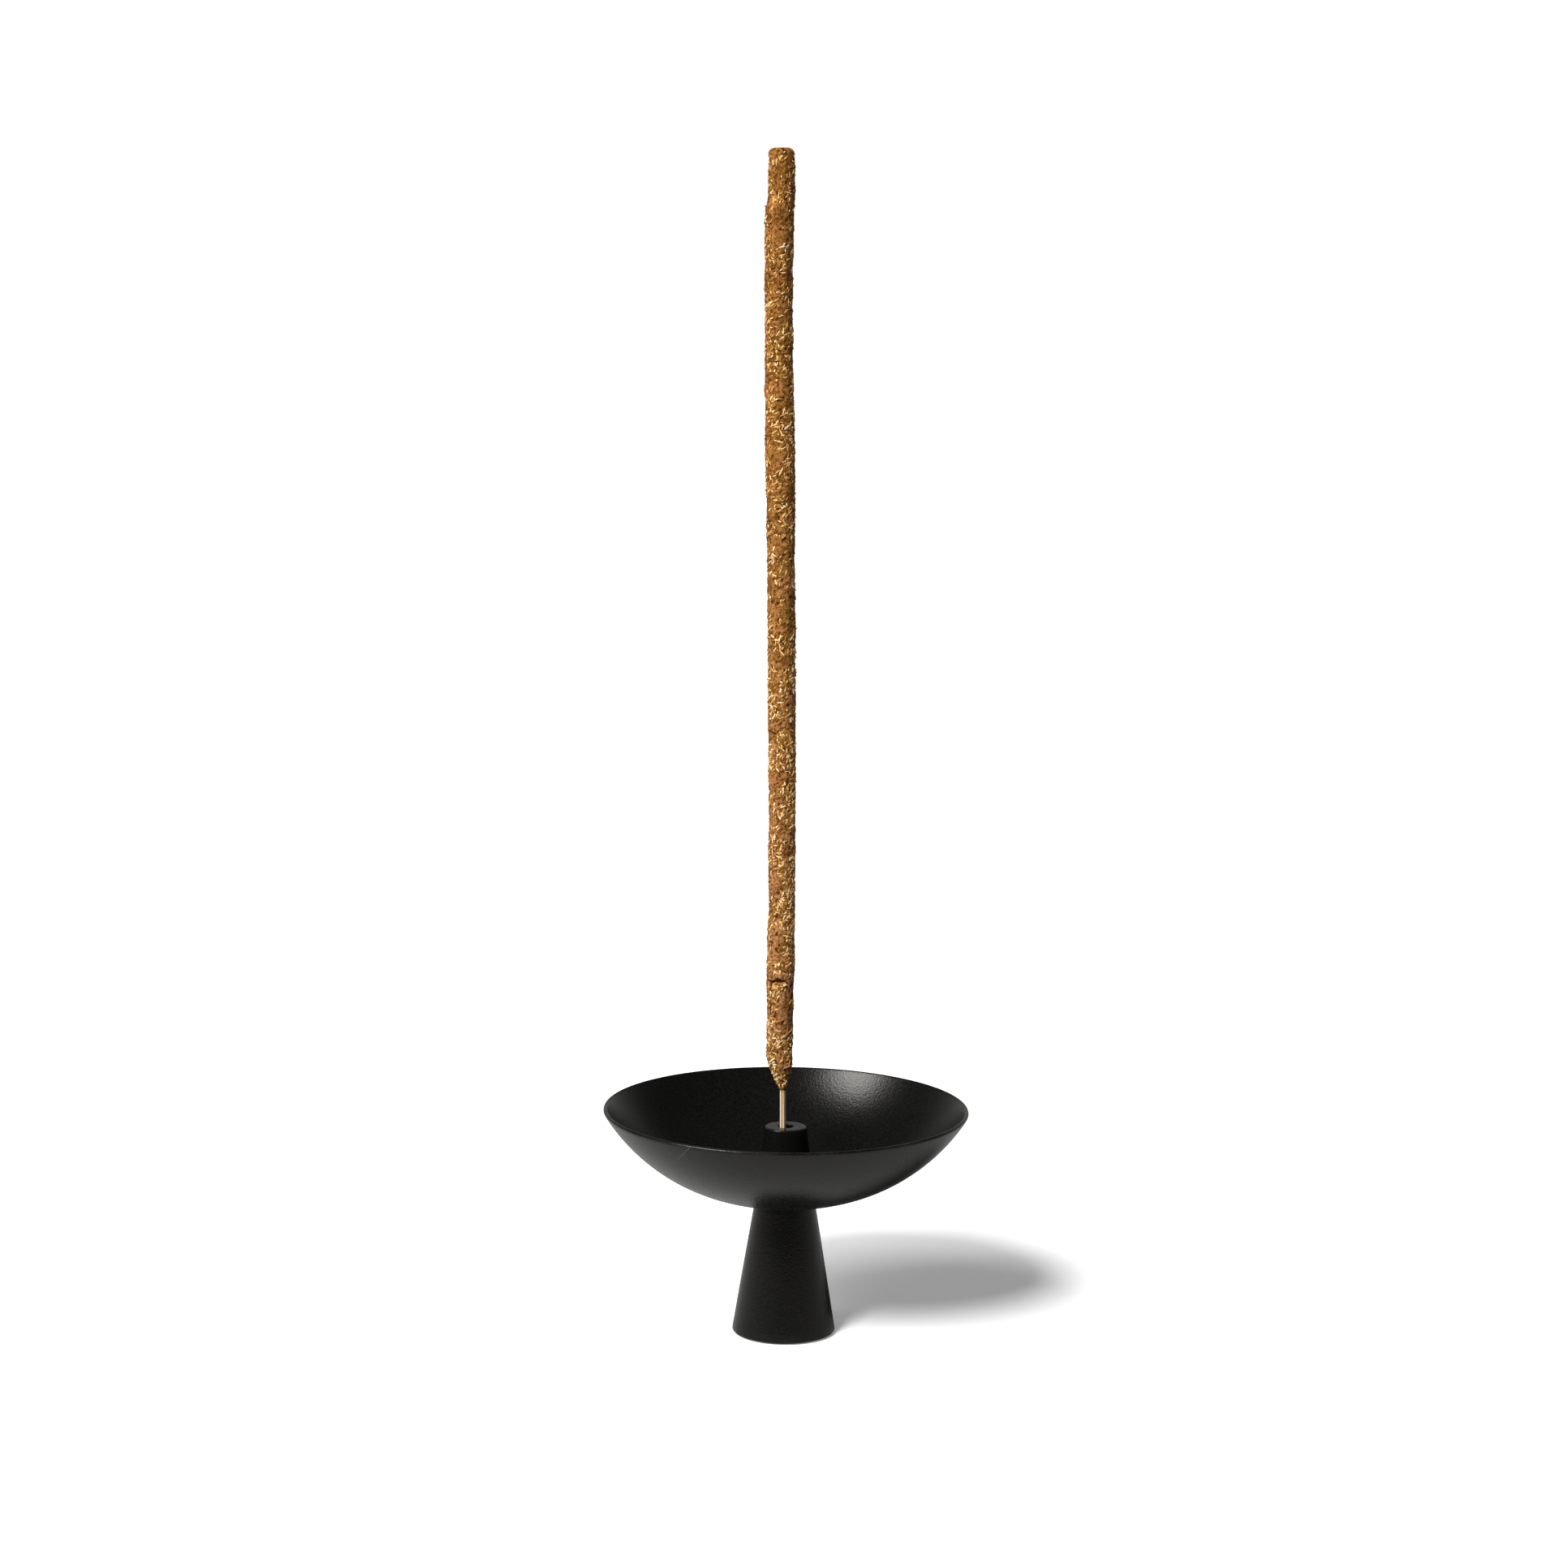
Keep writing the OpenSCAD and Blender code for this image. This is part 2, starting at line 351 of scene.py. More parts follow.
def surfaced(tree, shader, colour, roughness, height, relief, depth):
    """Joins a colour, a roughness and a relief, whose depth is in millimetres, to a material's
    shader, and the shader to the material's output."""
    bump = add(tree, "ShaderNodeBump", Strength=relief, Distance=depth * mm)
    out = add(tree, "ShaderNodeOutputMaterial")
    join(tree, height, bump.inputs["Height"])
    join(tree, colour, shader.inputs["Base Color"])
    join(tree, roughness, shader.inputs["Roughness"])
    join(tree, bump.outputs["Normal"], shader.inputs["Normal"])
    join(tree, shader.outputs[0], out.inputs["Surface"])


# Powder coat, as melted paint grains leave it: a fine orange peel, a slow drift of gloss, a few
# paler specks of dust in the film, and a slight polish where the outer edges are handled.
powder_coat, coat_in, coat_out = effect_group(
    "powder_coat_film",
    {"Position": None, "Grain size": 0.35, "Base": (0.01, 0.01, 0.01, 1), "Haze": (0.02, 0.02, 0.02, 1),
     "Gloss drift": 0.06, "Roughness": 0.42},
    {"Colour": "NodeSocketColor", "Roughness": "NodeSocketFloat", "Height": "NodeSocketFloat"},
)
dust_grey = (0.16, 0.155, 0.145, 1)
polished_grey = (0.05, 0.05, 0.05, 1)
position = coat_in.outputs["Position"]
peel_scale = computed(powder_coat, "DIVIDE", 1000.0, coat_in.outputs["Grain size"])
peel = pattern(powder_coat, "Noise", position, "orange peel", Detail=3.0, Roughness=0.55)
join(powder_coat, peel_scale, peel.inputs["Scale"])
drift = pattern(powder_coat, "Noise", position, "film thickness", Scale=90.0, Detail=4.0, Roughness=0.6)
specks = pattern(powder_coat, "Voronoi", position, "dust specks", Scale=420.0)
speck_mask = ranged(powder_coat, specks.outputs["Distance"], 0.05, 0.02)
speck_pick = ranged(powder_coat, specks.outputs["Color"], 0.80, 0.84)
speck_mask = computed(powder_coat, "MULTIPLY", speck_mask, speck_pick)
edge = add(powder_coat, "ShaderNodeAttribute", "handled edges", attribute_name="wear")
uneven = ranged(powder_coat, drift.outputs["Fac"], 0.45, 0.65)
rub = computed(powder_coat, "MULTIPLY", edge.outputs["Fac"], uneven)
haze_mask = ranged(powder_coat, peel.outputs["Fac"], 0.35, 0.75)
film = blended(powder_coat, haze_mask, coat_in.outputs["Base"], coat_in.outputs["Haze"])
film = blended(powder_coat, computed(powder_coat, "MULTIPLY", speck_mask, 0.5), film, dust_grey)
film = blended(powder_coat, computed(powder_coat, "MULTIPLY", rub, 0.25), film, polished_grey)
join(powder_coat, film, coat_out.inputs["Colour"])
slow = computed(powder_coat, "SUBTRACT", drift.outputs["Fac"], 0.5)
slow = computed(powder_coat, "MULTIPLY", slow, coat_in.outputs["Gloss drift"])
quick = computed(powder_coat, "SUBTRACT", peel.outputs["Fac"], 0.5)
quick = computed(powder_coat, "MULTIPLY", quick, 0.12)
gloss = computed(powder_coat, "ADD", slow, quick)
gloss = computed(powder_coat, "ADD", coat_in.outputs["Roughness"], gloss)
gloss = computed(powder_coat, "SUBTRACT", gloss, computed(powder_coat, "MULTIPLY", rub, 0.08))
join(powder_coat, gloss, coat_out.inputs["Roughness"])
join(powder_coat, peel.outputs["Fac"], coat_out.inputs["Height"])


def hairline(tree, position, start, end, outward):
    """A mask that is 1 on a fine scratch between two points of a surface that faces outward."""
    along = (end - start).normalized()
    beside = along.cross(outward).normalized()
    offset = add(tree, "ShaderNodeVectorMath", "from the scratch's start", operation="SUBTRACT")
    join(tree, position, offset.inputs[0])
    offset.inputs[1].default_value = start

    def measured(direction):
        dot = add(tree, "ShaderNodeVectorMath", operation="DOT_PRODUCT")
        join(tree, offset.outputs[0], dot.inputs[0])
        dot.inputs[1].default_value = direction
        return dot.outputs["Value"]

    aside = computed(tree, "ABSOLUTE", measured(beside), 0.0)
    line = ranged(tree, aside, 0.04 * mm, 0.07 * mm, 1.0, 0.0)
    for limit in (
        ranged(tree, measured(along), -0.2 * mm, 0.0),
        ranged(tree, measured(along), 5 * mm, (end - start).length, 1.0, 0.0),
        ranged(tree, measured(outward), -0.6 * mm, -0.4 * mm),
    ):
        line = computed(tree, "MULTIPLY", line, limit)
    return line


warm_sheen = (1.0, 0.975, 0.93, 1)
scratch_grey = (0.10, 0.098, 0.092, 1)


def black_coat(name, grain, base, haze, roughness, relief, index=1.5, scratch=None):
    """Satin black powder coat on metal, with its own grain size in millimetres and gloss. A scratch
    is (start, end, outward): a hairline on the outside, from one point to the other."""
    material, tree, position = new_material(name)
    film = placed(tree, powder_coat, position, Grain_size=grain, Base=(*base, 1), Haze=(*haze, 1),
                  Roughness=roughness)
    colour = film.outputs["Colour"]
    if scratch:
        colour = blended(tree, hairline(tree, position, *scratch), colour, scratch_grey)
    coat = add(tree, "ShaderNodeBsdfPrincipled", IOR=index, Specular_Tint=warm_sheen)
    surfaced(tree, coat, colour, film.outputs["Roughness"], film.outputs["Height"], relief, 0.035)
    return material


foot = turned_piece("foot_turned", rounded([
    (recess_r, pad_lift, 0.15),
    (foot_base_r, pad_lift, foot_edge_r),
    (foot_top_r, seat_z, 0.12),
    (socket_r, seat_z, 0.2),
    (socket_r, socket_z, 0.1),
    (shank_hole_r, socket_z, 0.1),
    (shank_hole_r, socket_z - web, 0.1),
    (counterbore_r, socket_z - web, 0.2),
    (counterbore_r, recess_z, 0.15),
    (recess_r, recess_z, 0.1),
]))
foot.data.materials.append(black_coat(
    "black_coat_foot", grain=0.5, base=(0.002, 0.002, 0.0018), haze=(0.005, 0.005, 0.0046),
    roughness=0.25, relief=1.2, index=1.40,
))
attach(foot, "burner")
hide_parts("foot")

# ---------------------------------------------------------------------------------------------
# Bowl: a shallow dish pressed from steel sheet, with a flat seat and a hole in its middle and a
# fully rounded rim. It carries the same black coat, and the seat is clamped between foot and holder.
# ---------------------------------------------------------------------------------------------
_, bowl_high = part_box("bowl")
wall = 0.9
bowl_depth = 21.1
rim_angle = 58
floor_angle = 17
bowl_hole_r = 4.1
lip_r = wall / 2
lip_x = bowl_high.x / mm - lip_r
lip_z = bowl_high.z / mm - lip_r
floor_rows = 16
side_rows = 44
lip_rows = 16


def degrees_of(function, angle):
    """The sine or cosine of an angle in degrees."""
    return function(math.radians(angle))


def bowl_outline():
    """The dish's wall as two arcs that meet smoothly: the floor's up to floor_angle and the
    side's from there to the rim, each with a constant wall, and a half-round lip."""
    rise = bowl_depth - 2 * lip_r
    run = degrees_of(math.sin, rim_angle) - degrees_of(math.sin, floor_angle)
    climb = degrees_of(math.cos, floor_angle) - degrees_of(math.cos, rim_angle)
    floor_climb = 1 - degrees_of(math.cos, floor_angle)
    scale = degrees_of(math.sin, floor_angle) * climb - floor_climb * run
    floor_r = (lip_x * climb - rise * run) / scale
    side_r = (rise * degrees_of(math.sin, floor_angle) - lip_x * floor_climb) / scale
    floor_z = lip_z - rise + floor_r
    side_x = (floor_r - side_r) * degrees_of(math.sin, floor_angle)
    side_z = floor_z - (floor_r - side_r) * degrees_of(math.cos, floor_angle)

    def wall_side(offset, seat_height):
        arc = floor_r + offset
        first = math.degrees(math.acos((floor_z - seat_height) / arc))
        rows = [[arc * degrees_of(math.sin, a), floor_z - arc * degrees_of(math.cos, a), 0.0]
                for a in np.linspace(first, floor_angle, floor_rows)]
        arc = side_r + offset
        rows += [[side_x + arc * degrees_of(math.sin, a), side_z - arc * degrees_of(math.cos, a), 0.0]
                 for a in np.linspace(floor_angle, rim_angle, side_rows)[1:]]
        return rows

    outside = wall_side(lip_r, seat_z)
    inside = wall_side(-lip_r, seat_z + wall)
    lip = []
    for k in range(1, lip_rows):
        angle = rim_angle - 90 + 180 * k / lip_rows
        lip.append([lip_x + lip_r * degrees_of(math.cos, angle), lip_z + lip_r * degrees_of(math.sin, angle),
                    math.sin(math.pi * k / lip_rows)])
    hole = [[bowl_hole_r, seat_z + wall, 0.0], [bowl_hole_r, seat_z, 0.0]]
    return divided(outside + lip + inside[::-1] + hole, 1.2)


bowl = turned_piece("bowl_pressed", bowl_outline(), steps=288)
scratch_start = Vector((-20.3, -34.5, 50.0)) * mm
scratch_end = Vector((-23.3, -28.8, 45.6)) * mm
scratch_side = Vector((-0.45, -0.65, -0.62)).normalized()
bowl.data.materials.append(black_coat(
    "black_coat_bowl", grain=0.5, base=(0.002, 0.002, 0.0018), haze=(0.006, 0.006, 0.0056),
    roughness=0.25, relief=1.4, index=1.45, scratch=(scratch_start, scratch_end, scratch_side),
))
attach(bowl, "burner")
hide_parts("bowl")

# ---------------------------------------------------------------------------------------------
# Stick holder: a small steel cone turned in one piece with its spigot, which passes through the
# bowl into the foot. Its hole is wide at the mouth and narrower below, and the spigot is tapped.
# ---------------------------------------------------------------------------------------------
holder_low, holder_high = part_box("stick_holder")
holder_top_z = holder_high.z / mm
spigot_z = holder_low.z / mm
bowl_floor_z = seat_z + wall
holder_base_r = 6.6
holder_top_r = 4.55
mouth_r = 1.7
mouth_depth = 4
guide_r = 1.3
guide_depth = 9
spigot_r = 4
thread_hole_r = 2.05
thread_depth = 6
holder = turned_piece("holder_turned", rounded([
    (thread_hole_r, spigot_z, 0.15),
    (spigot_r, spigot_z, 0.3),
    (spigot_r, bowl_floor_z, 0),
    (holder_base_r, bowl_floor_z, 0.1),
    (holder_top_r, holder_top_z, 0.3),
    (mouth_r, holder_top_z, 0.2),
    (mouth_r, holder_top_z - mouth_depth, 0.1),
    (guide_r, holder_top_z - mouth_depth, 0.1),
    (guide_r, holder_top_z - mouth_depth - guide_depth, 0.05),
    (0, holder_top_z - mouth_depth - guide_depth, 0),
    (0, spigot_z + thread_depth, 0),
    (thread_hole_r, spigot_z + thread_depth, 0.05),
]))
holder.data.materials.append(black_coat(
    "black_coat_holder", grain=0.3, base=(0.002, 0.002, 0.0019), haze=(0.005, 0.005, 0.0048),
    roughness=0.24, relief=0.5,
))
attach(holder, "burner")
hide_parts("stick_holder")

# ---------------------------------------------------------------------------------------------
# Clamp screw: a zinc-plated M4 socket-cap screw with a knurled head, driven from below through the
# washers and the foot's web into the holder. Its thread is a real helix on the mesh.
# ---------------------------------------------------------------------------------------------
screw_low, screw_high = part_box("clamp_screw")
screw_r = 2.0
thread_pitch = 0.7
thread_height = 0.38
head_r = 3.5
head_height = 4.0
hex_flat_r = 1.5
hex_depth = 2.0
knurls = 48
knurl_depth = 0.09
head_z = screw_low.z / mm
tip_z = screw_high.z / mm
shank_z = head_z + head_height


def screw_shape(radius, height, angle):
    """The hex socket, the head's knurl and the helical thread, as changes of the radius."""
    if abs(radius - hex_flat_r) < 1e-6:
        sector = (angle + math.pi / 6) % (math.pi / 3) - math.pi / 6
        return hex_flat_r / math.cos(sector), height
    if abs(radius - head_r) < 1e-6 and height > head_z + 0.5:
        return head_r - knurl_depth * abs(math.sin(angle * knurls / 2)), height
    if height > shank_z + 0.6 and 0 < radius <= screw_r:
        turn = ((height - shank_z) / thread_pitch - angle / (2 * math.pi)) % 1
        flank = min(1.0, max(0.0, 1.25 - abs(turn - 0.5) * 2.9))
        return max(0.2, radius - thread_height * (1 - flank)), height
    return radius, height


screw = turned_piece("screw_m4", divided([
    [0, head_z + hex_depth, 0.0], [hex_flat_r, head_z + hex_depth, 0.0], [hex_flat_r, head_z + 0.2, 0.0],
    [hex_flat_r + 0.35, head_z, 0.5], [head_r - 0.4, head_z, 0.2], [head_r - 0.12, head_z + 0.12, 1.0],
    [head_r, head_z + 0.4, 0.6], [head_r, head_z + 0.7, 0.3], [head_r, shank_z - 0.1, 0.3],
    [head_r - 0.1, shank_z, 0.6], [screw_r + 0.2, shank_z, 0.0], [screw_r, shank_z + 0.25, 0.0],
    [screw_r, shank_z + 0.61, 0.0],
] + [[screw_r, z, 0.4] for z in np.arange(shank_z + 0.68, tip_z - 0.45, 0.07)] + [
    [screw_r - 0.1, tip_z - 0.4, 0.3], [screw_r - 0.45, tip_z, 0.3], [0, tip_z, 0.0],
], 1.0), steps=144, shape=screw_shape)


def stretched(tree, position, label, scale):
    """The position scaled along each axis, so that a pattern laid over it is drawn out."""
    mapping = add(tree, "ShaderNodeMapping", label, Scale=scale)
    join(tree, position, mapping.inputs["Vector"])
    return mapping.outputs[0]


# Zinc plate on steel: a pale grey metal with a cloudy passivated tint and fine turning lines.
zinc_plate, zinc_in, zinc_out = effect_group(
    "zinc_plate",
    {"Position": None, "Metal": (0.55, 0.55, 0.56, 1), "Tint": (0.5, 0.5, 0.46, 1), "Roughness": 0.32},
    {"Colour": "NodeSocketColor", "Roughness": "NodeSocketFloat", "Height": "NodeSocketFloat"},
)
position = zinc_in.outputs["Position"]
clouds = pattern(zinc_plate, "Noise", position, "passivated clouds", Scale=600.0, Detail=4.0)
drawn_out = stretched(zinc_plate, position, "along the turning", (0.05, 0.05, 1.0))
lines = pattern(zinc_plate, "Noise", drawn_out, "turning lines", Scale=9000.0, Detail=2.0)
cloud_mask = ranged(zinc_plate, clouds.outputs["Fac"], 0.35, 0.7)
plate = blended(zinc_plate, cloud_mask, zinc_in.outputs["Metal"], zinc_in.outputs["Tint"])
join(zinc_plate, plate, zinc_out.inputs["Colour"])
uneven = computed(zinc_plate, "SUBTRACT", clouds.outputs["Fac"], 0.5)
uneven = computed(zinc_plate, "MULTIPLY", uneven, 0.3)
gloss = computed(zinc_plate, "ADD", zinc_in.outputs["Roughness"], uneven)
join(zinc_plate, gloss, zinc_out.inputs["Roughness"])
join(zinc_plate, lines.outputs["Fac"], zinc_out.inputs["Height"])


def plated_steel(name, metal, tint, roughness):
    """Zinc-plated steel, with its own metal shade, tint and gloss."""
    material, tree, position = new_material(name)
    plate = placed(tree, zinc_plate, position, Metal=(*metal, 1), Tint=(*tint, 1), Roughness=roughness)
    steel = add(tree, "ShaderNodeBsdfPrincipled", Metallic=1.0)
    surfaced(tree, steel, plate.outputs["Colour"], plate.outputs["Roughness"], plate.outputs["Height"],
             0.3, 0.01)
    return material


screw.data.materials.append(plated_steel(
    "screw_steel", metal=(0.56, 0.56, 0.57), tint=(0.5, 0.49, 0.42), roughness=0.3))
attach(screw, "burner")
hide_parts("clamp_screw")

# ---------------------------------------------------------------------------------------------
# Washers: a stamped flat washer against the foot's web, and under it a split spring washer of
# square wire, pressed nearly flat by the screw's head. Both are zinc-plated steel.
# ---------------------------------------------------------------------------------------------
flat_low, flat_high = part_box("flat_washer")
washer_hole_r = 2.125
flat_washer = turned_piece("washer_flat", rounded([
    (washer_hole_r, flat_low.z / mm, 0.05),
    (flat_high.x / mm, flat_low.z / mm, 0.06),
    (flat_high.x / mm, flat_high.z / mm, 0.14),
    (washer_hole_r, flat_high.z / mm, 0.12),
], steps=4, longest=0.6), steps=144)
flat_washer.data.materials.append(plated_steel(
    "washer_steel", metal=(0.6, 0.6, 0.61), tint=(0.52, 0.51, 0.46), roughness=0.34))
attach(flat_washer, "burner")
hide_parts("flat_washer")

spring_low, spring_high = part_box("spring_washer")
spring_outer_r = spring_high.y / mm
spring_slit = 0.8
spring_slant = math.tan(math.radians(20))


def tube_faces(rings, steps):
    """The faces between rings of points that follow one another, each ring of so many steps."""
    faces = []
    for j in range(rings - 1):
        for k in range(steps):
            n = (k + 1) % steps
            faces.append((j * steps + k, j * steps + n, (j + 1) * steps + n, (j + 1) * steps + k))
    return faces


def split_washer(name, low_z, high_z, steps=120):
    """Square wire bent to one turn, with a slanting cut: the ends' faces follow the slant."""
    section = rounded([
        (washer_hole_r, low_z, 0.1), (spring_outer_r, low_z, 0.12),
        (spring_outer_r, high_z, 0.12), (washer_hole_r, high_z, 0.1),
    ], steps=4, longest=0.5)
    middle_z = (low_z + high_z) / 2
    points = []
    for k in range(steps + 1):
        share = k / steps
        for radius, height, _ in section:
            half_gap = spring_slit / 2 / radius
            slant = (height - middle_z) * spring_slant / radius
            angle = half_gap + (2 * math.pi - 2 * half_gap) * share - slant
            points.append((radius * math.cos(angle) * mm, radius * math.sin(angle) * mm, height * mm))
    size = len(section)
    faces = [tuple(range(size)), tuple(range(steps * size, (steps + 1) * size))]
    faces += tube_faces(steps + 1, size)
    return finished_mesh(name, points, faces)


spring_washer = split_washer("washer_spring", spring_low.z / mm, spring_high.z / mm)
spring_washer.data.materials.append(plated_steel(
    "spring_steel", metal=(0.42, 0.42, 0.43), tint=(0.36, 0.35, 0.3), roughness=0.38))
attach(spring_washer, "burner")
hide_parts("spring_washer")

# ---------------------------------------------------------------------------------------------
# Base pad: a die-cut disc of black foam rubber, glued into the recess under the foot. It hides the
# screw and keeps the burner from sliding; its skin is matt and full of small closed pores.
# ---------------------------------------------------------------------------------------------
pad_low, pad_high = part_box("base_pad")
pad_r = pad_high.x / mm
pad = turned_piece("pad_rubber", rounded([
    (0, pad_low.z / mm, 0), (pad_r, pad_low.z / mm, 0.15),
    (pad_r, pad_high.z / mm, 0.1), (0, pad_high.z / mm, 0),
], steps=5, longest=0.8), steps=144)
foam_rubber, tree, position = new_material("pad_rubber")
pores = pattern(tree, "Voronoi", position, "closed pores", Scale=2600.0, Randomness=1.0)
smear = pattern(tree, "Noise", position, "uneven skin", Scale=350.0, Detail=5.0)
# Painted shade: the skin is coloured darker in the pores, by the same mask that sinks them
pore_depth_and_shade = ranged(tree, pores.outputs["Distance"], 0.1, 0.42)
skin = blended(tree, pore_depth_and_shade, (0.006, 0.006, 0.006, 1), (0.026, 0.026, 0.027, 1))
smear_mask = ranged(tree, smear.outputs["Fac"], 0.4, 0.7, 0, 0.5)
skin = blended(tree, smear_mask, skin, (0.045, 0.044, 0.043, 1))
matt = ranged(tree, smear.outputs["Fac"], 0.3, 0.7, 0.72, 0.92)
rubber = add(tree, "ShaderNodeBsdfPrincipled", IOR=1.5)
surfaced(tree, rubber, skin, matt, pore_depth_and_shade, 0.6, 0.05)
pad.data.materials.append(foam_rubber)
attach(pad, "burner")
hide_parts("base_pad")

# ---------------------------------------------------------------------------------------------
# Bamboo core: a split and drawn bamboo sliver, not quite round, with lengthwise fibre grooves. It
# stands in the holder's hole, leans a little on its edge, and runs up inside the paste.
# ---------------------------------------------------------------------------------------------
core_low, core_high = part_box("bamboo_core")
stick_axis = Vector(frame["joints"][0]["axis"]).normalized()
lean = math.atan2(-stick_axis.x, stick_axis.z)
core_r = (core_high.y - core_low.y) / 2 / mm
stick_foot = Vector((
    core_high.x / mm - core_r * math.cos(lean), 0, core_low.z / mm + core_r * math.sin(lean),
))
core_length = (core_high.z / mm - stick_foot.z) / math.cos(lean) - core_r * math.tan(lean)
bare_length = 21.2
to_stick = Matrix.Translation(stick_foot * mm) @ Matrix.Rotation(-lean, 4, "Y")
to_coat = to_stick @ Matrix.Translation((0, 0, bare_length * mm))
core_steps = 48
# The core's grooves as (middle angle, width, depth)
core_grooves = ((-1.98, 0.17, 0.16), (-0.7, 0.22, 0.1), (0.4, 0.2, 0.08), (1.9, 0.14, 0.1), (2.9, 0.2, 0.07))


def bamboo_sliver(name):
    """The core's surface in the stick's own frame: flat sides, grooves that wander and fine fibre."""
    heights = np.concatenate([
        np.linspace(0, bare_length + 2, 140),
        np.linspace(bare_length + 3, core_length, 60),
    ])
    points = []
    groove_values = []
    for z in heights:
        for k in range(core_steps):
            angle = 2 * math.pi * k / core_steps
            r = core_r * (0.985 - 0.035 * abs(math.sin(2 * angle)))
            depth = 0.0
            for centre, width, deep in core_grooves:
                wander = 0.12 * noise.noise(Vector((centre * 9, 0, z * 0.12)))
                off = math.remainder(angle - centre - wander, 2 * math.pi)
                depth += deep * math.exp(-(off / width) ** 2)
            fibre = 0.012 * noise.noise(Vector((math.cos(angle) * 6, math.sin(angle) * 6, z * 0.3)))
            end_round = 0.06 * max(0.0, 1 - z / 0.3)
            r = r - depth * 0.6 + fibre - end_round
            points.append(to_stick @ (Vector((r * math.cos(angle), r * math.sin(angle), z)) * mm))
            groove_values.append(min(1.0, depth / 0.1))
    faces = [tuple(range(core_steps))[::-1]]
    faces += tube_faces(len(heights), core_steps)
    last = (len(heights) - 1) * core_steps
    faces.append(tuple(range(last, last + core_steps)))
    return finished_mesh(name, points, faces, {"groove": groove_values})


core = bamboo_sliver("core_bamboo")

# Plant fibre, for the bamboo and for the flakes: streaks along one direction and soft blotches.
plant_fibre, fibre_in, fibre_out = effect_group(
    "plant_fibre",
    {"Position": None, "Streak scale": 4000.0, "Pale": (0.7, 0.55, 0.35, 1), "Dark": (0.4, 0.25, 0.1, 1)},
    {"Colour": "NodeSocketColor", "Streak": "NodeSocketFloat"},
)
position = fibre_in.outputs["Position"]
lengthwise = stretched(plant_fibre, position, "along the fibre", (1.0, 1.0, 0.03))
streaks = pattern(plant_fibre, "Noise", lengthwise, "fibre streaks", Detail=5.0, Roughness=0.65)
join(plant_fibre, fibre_in.outputs["Streak scale"], streaks.inputs["Scale"])
blotches = pattern(plant_fibre, "Noise", position, "blotches", Scale=260.0, Detail=3.0)
streak_mask = ranged(plant_fibre, streaks.outputs["Fac"], 0.38, 0.68)
fibre_colour = blended(plant_fibre, streak_mask, fibre_in.outputs["Dark"], fibre_in.outputs["Pale"])
blotch_mask = ranged(plant_fibre, blotches.outputs["Fac"], 0.5, 0.75, 0, 0.35)
fibre_colour = blended(plant_fibre, blotch_mask, fibre_colour, fibre_in.outputs["Dark"])
join(plant_fibre, fibre_colour, fibre_out.inputs["Colour"])
join(plant_fibre, streaks.outputs["Fac"], fibre_out.inputs["Streak"])

bamboo, tree, position = new_material("bamboo")
fibre = placed(tree, plant_fibre, position, Streak_scale=5200.0, Pale=(0.80, 0.66, 0.46, 1),
               Dark=(0.48, 0.34, 0.19, 1))
# The grooves are coloured dark brown: partly the colour of a strip of bark, partly painted shade in the
# grooves
groove = add(tree, "ShaderNodeAttribute", "fibre grooves", attribute_name="groove")
groove_bark_and_shade = ranged(tree, groove.outputs["Fac"], 0.15, 0.9)
wood = blended(tree, groove_bark_and_shade, fibre.outputs["Colour"], (0.12, 0.06, 0.025, 1))
height_parts = add(tree, "ShaderNodeSeparateXYZ")
join(tree, position, height_parts.inputs[0])
stain_top = (stick_foot.z + bare_length) * mm
stain = ranged(tree, height_parts.outputs["Z"], stain_top - 1.2 * mm, stain_top + 0.3 * mm, 0, 0.6)
wood = blended(tree, stain, wood, (0.30, 0.15, 0.06, 1))
sheen = ranged(tree, fibre.outputs["Streak"], 0.3, 0.7, 0.62, 0.45)
sliver = add(tree, "ShaderNodeBsdfPrincipled", IOR=1.5)
surfaced(tree, sliver, wood, sheen, fibre.outputs["Streak"], 0.5, 0.03)
core.data.materials.append(bamboo)
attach(core, "incense_stick")
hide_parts("bamboo_core")

# ---------------------------------------------------------------------------------------------
# Incense paste: a dough of wood powder, resin and binder, rolled by hand onto the core and dried.
# Its thickness wanders, its skin is grainy and pitted, and three cracks run part of the way round.
# ---------------------------------------------------------------------------------------------
paste_low, paste_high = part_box("incense_paste")
paste_length = (paste_high.z / mm - stick_foot.z) / math.cos(lean) - bare_length
# Along the coat: (height, diameter, how far its middle lies to the right and to the back)
paste_stations = (
    (0.0, 1.5, 0.0, 0.0), (0.8, 1.95, -0.05, 0.0), (1.6, 2.4, -0.12, 0.0), (2.9, 3.4, -0.24, 0.05),
    (4.3, 4.65, -0.42, 0.1), (5.8, 5.4, -0.6, 0.1), (8, 5.65, -0.74, 0.1), (14, 5.7, -0.65, 0.05),
    (20, 5.75, -0.6, -0.1), (28, 6.05, -0.45, -0.2), (36, 5.8, -0.3, -0.2), (43, 5.6, -0.2, -0.1),
    (52, 5.85, -0.15, 0.05), (63, 5.65, -0.1, 0.15), (75, 5.85, -0.12, 0.2), (92, 5.9, -0.14, 0.1),
    (104, 5.95, -0.2, -0.05), (116, 5.8, -0.27, -0.15), (127, 6.05, -0.32, -0.1), (139, 6.35, -0.45, 0.0),
    (150, 6.1, -0.58, 0.1), (160, 5.95, -0.65, 0.1), (170, 5.9, -0.66, 0.05), (178, 5.85, -0.64, 0.0),
    (185, 6.15, -0.55, -0.05), (189.4, 6.15, -0.5, -0.1), (194.0, 5.6, -0.05, -0.1), (197, 5.5, 0.0, -0.05),
    (203.5, 5.4, 0.0, 0.0),
)
paste_steps = 108
paste_ring_gap = 0.235
paste_tip_r = 1.4
paste_mean_r = 3


